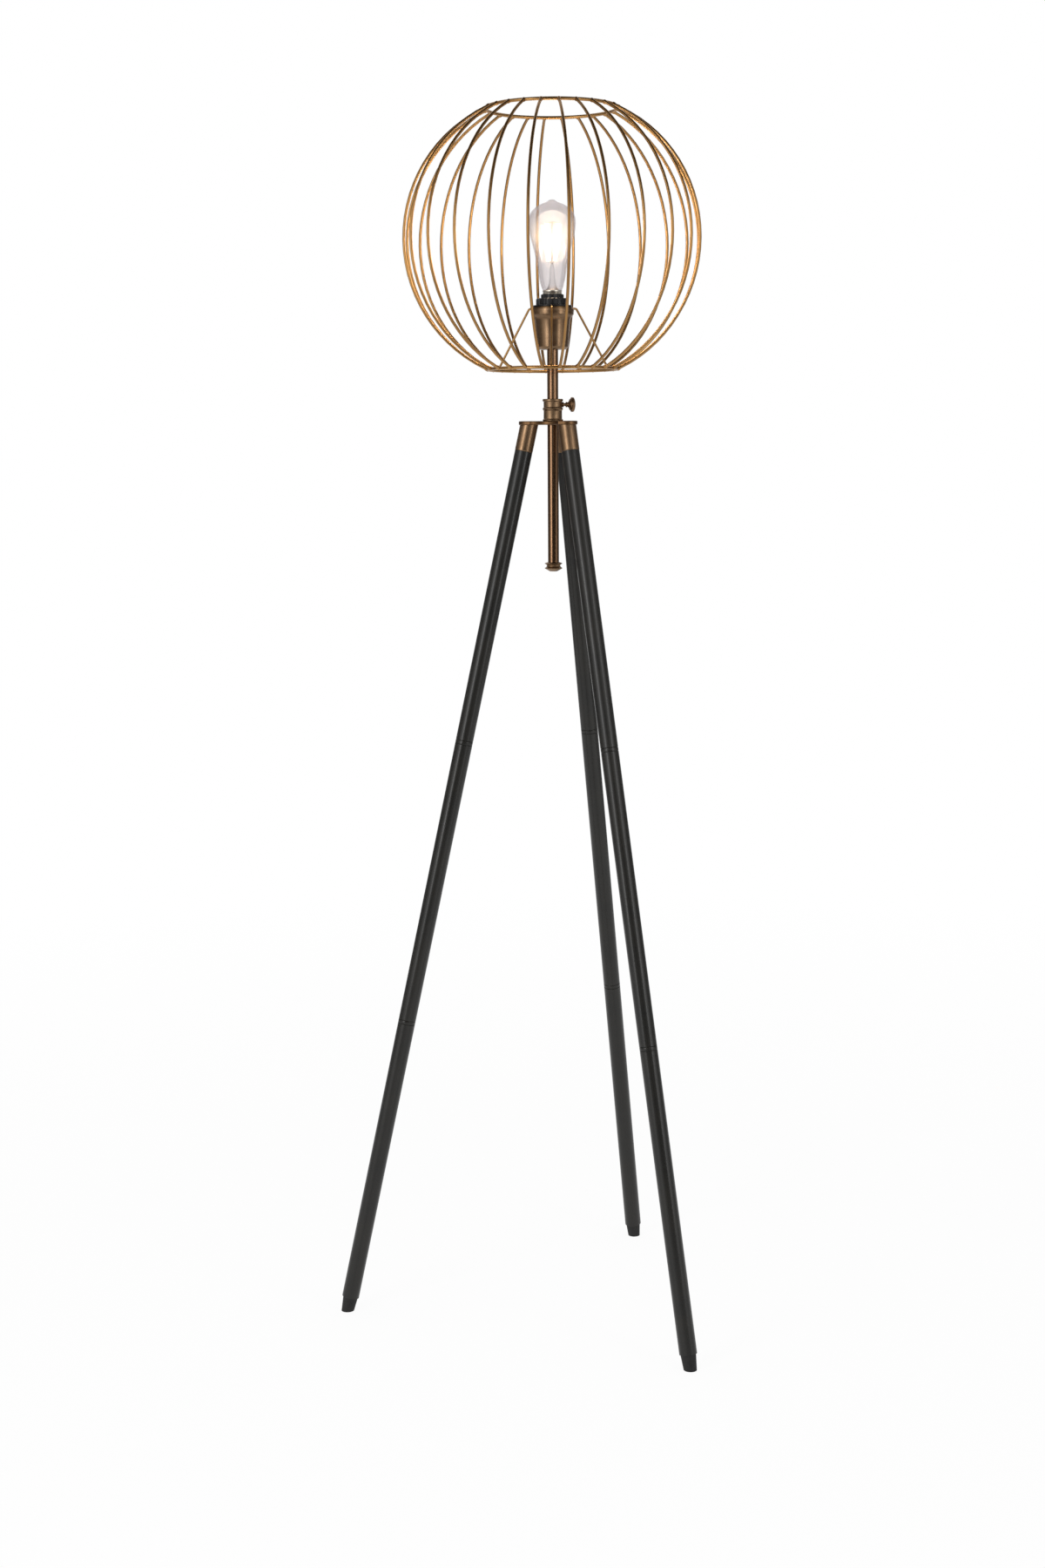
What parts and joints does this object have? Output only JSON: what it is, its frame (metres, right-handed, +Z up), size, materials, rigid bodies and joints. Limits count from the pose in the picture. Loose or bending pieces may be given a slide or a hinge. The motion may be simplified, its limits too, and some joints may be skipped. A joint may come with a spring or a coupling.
{
  "type": "wire cage floor lamp",
  "caption": "Tripod floor lamp: screwed tubular legs under a spider plate, a clamped sliding pole, a turned lampholder and a globe-shaped cage of bent wire round a bulb.",
  "frame": {"origin": "on the floor, on the pole's axis, midway between the feet", "axes": "+Z up along the pole, -X towards the first leg, +X the side the thumbscrew is on"},
  "size_m": [0.5078, 0.5356, 1.6568],
  "materials": {
    "antique_brass": "brushed antique brass",
    "aged_bronze_wire": "aged bronze, satin",
    "black_tube": "satin black",
    "foot_rubber": "matt black",
    "steel": "zinc plated",
    "pad_plastic": "plain",
    "black_phenolic": "moulded, satin",
    "nickel": "nickel plated",
    "bulb_insulator": "dark glass",
    "bulb_glass": "clear",
    "bulb_glass_stem": "clear",
    "filament": "warm phosphor, lit",
    "lead_wire": "plain"
  },
  "bodies": {
    "stand": {"spider_plate": "antique_brass", "leg_screws": "steel", "hub_collar": "antique_brass", "leg_1_ferrule": "antique_brass", "leg_1_upper_tube": "black_tube", "leg_1_upper_coupler": "black_tube", "leg_1_middle_tube": "black_tube", "leg_1_lower_coupler": "black_tube", "leg_1_lower_tube": "black_tube", "leg_1_foot": "foot_rubber", "leg_2_ferrule": "antique_brass", "leg_2_upper_tube": "black_tube", "leg_2_upper_coupler": "black_tube", "leg_2_middle_tube": "black_tube", "leg_2_lower_coupler": "black_tube", "leg_2_lower_tube": "black_tube", "leg_2_foot": "foot_rubber", "leg_3_ferrule": "antique_brass", "leg_3_upper_tube": "black_tube", "leg_3_upper_coupler": "black_tube", "leg_3_middle_tube": "black_tube", "leg_3_lower_coupler": "black_tube", "leg_3_lower_tube": "black_tube", "leg_3_foot": "foot_rubber"},
    "clamp_pad": {"clamp_pad": "pad_plastic"},
    "thumbscrew": {"thumbscrew": "antique_brass"},
    "pole_foot": {"pole_end_cap": "antique_brass"},
    "lamp_head": {"pole": "antique_brass", "pole_top_bush": "steel", "threaded_nipple": "steel", "nipple_lock_nut": "steel", "lampholder_cup": "antique_brass", "lampholder_base": "black_phenolic", "contact_block": "black_phenolic", "terminal_screws": "steel", "lampholder_skirt": "black_phenolic", "screw_shell": "nickel", "centre_contact": "nickel", "shade_ring": "black_phenolic", "gimbal_fitter_ring": "aged_bronze_wire", "gimbal_arms": "aged_bronze_wire", "cage_top_ring": "aged_bronze_wire", "cage_bottom_ring": "aged_bronze_wire", "cage_ribs": "aged_bronze_wire"},
    "bulb_lift": {"bulb_contact": "nickel"},
    "bulb": {"bulb_glass": "bulb_glass", "bulb_cap": "nickel", "bulb_cap_insulator": "bulb_insulator", "bulb_stem": "bulb_glass_stem", "bulb_filaments": "filament", "bulb_lead_wires": "lead_wire"}
  },
  "joints": [
    {"name": "pole_slide", "type": "slide", "parent": "stand", "child": "pole_foot", "axis": [0, 0, 1], "range_m": [-0.065, 0.184]},
    {"name": "pole_swivel", "type": "hinge", "parent": "pole_foot", "child": "lamp_head", "pos_m": [0, 0, 1.2], "axis": [0, 0, 1], "continuous": true},
    {"name": "clamp_pad_slide", "type": "slide", "parent": "stand", "child": "clamp_pad", "axis": [1, 0, 0], "range_m": [0, 0.003]},
    {"name": "thumbscrew_turn", "type": "hinge", "parent": "clamp_pad", "child": "thumbscrew", "pos_m": [0.013, 0, 1.2679], "axis": [1, 0, 0], "range_deg": [0, 1080]},
    {"name": "bulb_lift_slide", "type": "slide", "parent": "lamp_head", "child": "bulb_lift", "axis": [0, 0, 1], "range_m": [0, 0.0109]},
    {"name": "bulb_turn", "type": "hinge", "parent": "bulb_lift", "child": "bulb", "pos_m": [0, 0, 1.4], "axis": [0, 0, 1], "range_deg": [0, 1080]}
  ],
  "couplings": [
    {"joint": "thumbscrew_turn", "follows": "clamp_pad_slide", "rad_per_m": 6283.2},
    {"joint": "bulb_lift_slide", "follows": "bulb_turn", "m_per_rad": 0.00057757}
  ]
}
